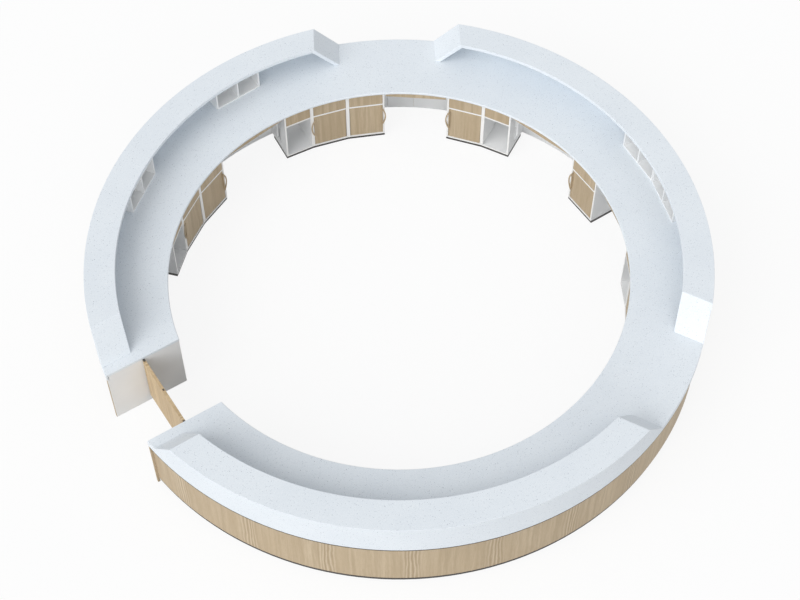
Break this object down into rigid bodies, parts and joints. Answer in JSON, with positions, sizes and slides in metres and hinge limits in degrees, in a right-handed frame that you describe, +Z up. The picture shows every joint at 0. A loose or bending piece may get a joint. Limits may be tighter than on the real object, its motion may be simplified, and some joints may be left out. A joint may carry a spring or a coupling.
{
  "type": "reception desk",
  "caption": "Ring-shaped reception desk with a low worktop, raised visitor counters with sloped ends, oak cladding, swing gates and cabinets with drawers and doors.",
  "frame": {"origin": "centre of the ring, on the floor", "axes": "+Z up; +X to the right and +Y away from the viewer of the picture; the entrance is at a bearing of 212.7 degrees from +X"},
  "size_m": [6.0836, 6.0824, 1.058],
  "materials": {
    "solid_surface": "satin white speckled solid surface",
    "white_board": "white melamine board",
    "oak": "light oak veneer, matt",
    "softwood": "raw softwood frame",
    "dark_skirting": "dark brown laminate",
    "black_steel": "black powder coat"
  },
  "bodies": {
    "desk": {"worktop_left": "solid_surface", "counter_left": "solid_surface", "cladding_left": "oak", "skirting_left": "dark_skirting", "lining_left": "white_board", "body_frame_left": "softwood", "worktop_right": "solid_surface", "counter_right": "solid_surface", "cladding_right": "oak", "skirting_right": "dark_skirting", "lining_right": "white_board", "body_frame_right": "softwood", "worktop_front": "solid_surface", "counter_front": "solid_surface", "cladding_front": "oak", "skirting_front": "dark_skirting", "lining_front": "white_board", "body_frame_front": "softwood", "end_panel_left": "white_board", "end_panel_front": "white_board", "gate_pivot_left": "black_steel", "gate_pivot_front": "black_steel", "pigeonholes_left": "white_board", "pigeonholes_far_left": "white_board", "pigeonholes_right": "white_board", "pigeonholes_near_right": "white_board", "carcass_far_left": "white_board", "plinth_far_left": "dark_skirting", "carcass_left": "white_board", "plinth_left": "dark_skirting", "carcass_far_right": "white_board", "plinth_far_right": "dark_skirting", "carcass_right": "white_board", "plinth_right": "dark_skirting", "carcass_near_right": "white_board", "plinth_near_right": "dark_skirting", "apron_far": "oak", "apron_left": "oak", "apron_right": "oak", "apron_near_right": "oak"},
    "gate_leaf_left": {"gate_leaf_left": "oak"},
    "gate_leaf_front": {"gate_leaf_front": "oak"},
    "drawer_far_left_1": {"drawer_far_left_1": "oak"},
    "door_far_left_1": {"door_far_left_1": "oak"},
    "drawer_far_left_2": {"drawer_far_left_2": "oak"},
    "door_far_left_2": {"door_far_left_2": "oak"},
    "drawer_far_left_3": {"drawer_far_left_3": "oak"},
    "drawer_left_1": {"drawer_left_1": "oak"},
    "door_left_1": {"door_left_1": "oak"},
    "drawer_left_2": {"drawer_left_2": "oak"},
    "door_left_2": {"door_left_2": "oak"},
    "drawer_left_3": {"drawer_left_3": "oak"},
    "drawer_far_right_1": {"drawer_far_right_1": "oak"},
    "drawer_far_right_2": {"drawer_far_right_2": "oak"},
    "door_far_right_2": {"door_far_right_2": "oak"},
    "drawer_right_1": {"drawer_right_1": "oak"},
    "door_right_1": {"door_right_1": "oak"},
    "drawer_near_right_1": {"drawer_near_right_1": "oak"},
    "door_near_right_1": {"door_near_right_1": "oak"},
    "drawer_near_right_2": {"drawer_near_right_2": "oak"}
  },
  "joints": [
    {"name": "gate_left_swing", "type": "hinge", "parent": "desk", "child": "gate_leaf_left", "pos_m": [-2.41815, -1.08303, 0.41], "axis": [0, 0, 1], "range_deg": [-90, 90]},
    {"name": "gate_front_swing", "type": "hinge", "parent": "desk", "child": "gate_leaf_front", "pos_m": [-1.99136, -1.74783, 0.41], "axis": [0, 0, 1], "range_deg": [-90, 90]},
    {"name": "drawer_far_left_1_slide", "type": "slide", "parent": "desk", "child": "drawer_far_left_1", "axis": [0.1536, -0.9881, 0], "range_m": [0, 0.22]},
    {"name": "door_far_left_1_hinge", "type": "hinge", "parent": "desk", "child": "door_far_left_1", "pos_m": [-0.52697, 2.27645, 0.267], "axis": [0, 0, -1], "range_deg": [0, 80]},
    {"name": "drawer_far_left_2_slide", "type": "slide", "parent": "desk", "child": "drawer_far_left_2", "axis": [0.3208, -0.9472, 0], "range_m": [0, 0.22]},
    {"name": "door_far_left_2_hinge", "type": "hinge", "parent": "desk", "child": "door_far_left_2", "pos_m": [-0.5856, 2.26207, 0.267], "axis": [0, 0, 1], "range_deg": [0, 80]},
    {"name": "drawer_far_left_3_slide", "type": "slide", "parent": "desk", "child": "drawer_far_left_3", "axis": [0.4632, -0.8862, 0], "range_m": [0, 0.22]},
    {"name": "drawer_left_1_slide", "type": "slide", "parent": "desk", "child": "drawer_left_1", "axis": [0.84, -0.5426, 0], "range_m": [0, 0.22]},
    {"name": "door_left_1_hinge", "type": "hinge", "parent": "desk", "child": "door_left_1", "pos_m": [-2.05024, 1.12091, 0.267], "axis": [0, 0, -1], "range_deg": [0, 80]},
    {"name": "drawer_left_2_slide", "type": "slide", "parent": "desk", "child": "drawer_left_2", "axis": [0.9206, -0.3906, 0], "range_m": [0, 0.22]},
    {"name": "door_left_2_hinge", "type": "hinge", "parent": "desk", "child": "door_left_2", "pos_m": [-2.07851, 1.06757, 0.267], "axis": [0, 0, 1], "range_deg": [0, 80]},
    {"name": "drawer_left_3_slide", "type": "slide", "parent": "desk", "child": "drawer_left_3", "axis": [0.9699, -0.2437, 0], "range_m": [0, 0.22]},
    {"name": "drawer_far_right_1_slide", "type": "slide", "parent": "desk", "child": "drawer_far_right_1", "axis": [-0.4486, -0.8937, 0], "range_m": [0, 0.22]},
    {"name": "drawer_far_right_2_slide", "type": "slide", "parent": "desk", "child": "drawer_far_right_2", "axis": [-0.3052, -0.9523, 0], "range_m": [0, 0.22]},
    {"name": "door_far_right_2_hinge", "type": "hinge", "parent": "desk", "child": "door_far_right_2", "pos_m": [0.87397, 2.16704, 0.267], "axis": [0, 0, 1], "range_deg": [0, 80]},
    {"name": "drawer_right_1_slide", "type": "slide", "parent": "desk", "child": "drawer_right_1", "axis": [-0.8341, -0.5516, 0], "range_m": [0, 0.22]},
    {"name": "door_right_1_hinge", "type": "hinge", "parent": "desk", "child": "door_right_1", "pos_m": [2.02307, 1.13279, 0.267], "axis": [0, 0, 1], "range_deg": [0, 80]},
    {"name": "drawer_near_right_1_slide", "type": "slide", "parent": "desk", "child": "drawer_near_right_1", "axis": [-0.9965, 0.0841, 0], "range_m": [0, 0.22]},
    {"name": "door_near_right_1_hinge", "type": "hinge", "parent": "desk", "child": "door_near_right_1", "pos_m": [2.3185, -0.02408, 0.267], "axis": [0, 0, -1], "range_deg": [0, 80]},
    {"name": "drawer_near_right_2_slide", "type": "slide", "parent": "desk", "child": "drawer_near_right_2", "axis": [-0.9974, -0.072, 0], "range_m": [0, 0.22]}
  ]
}
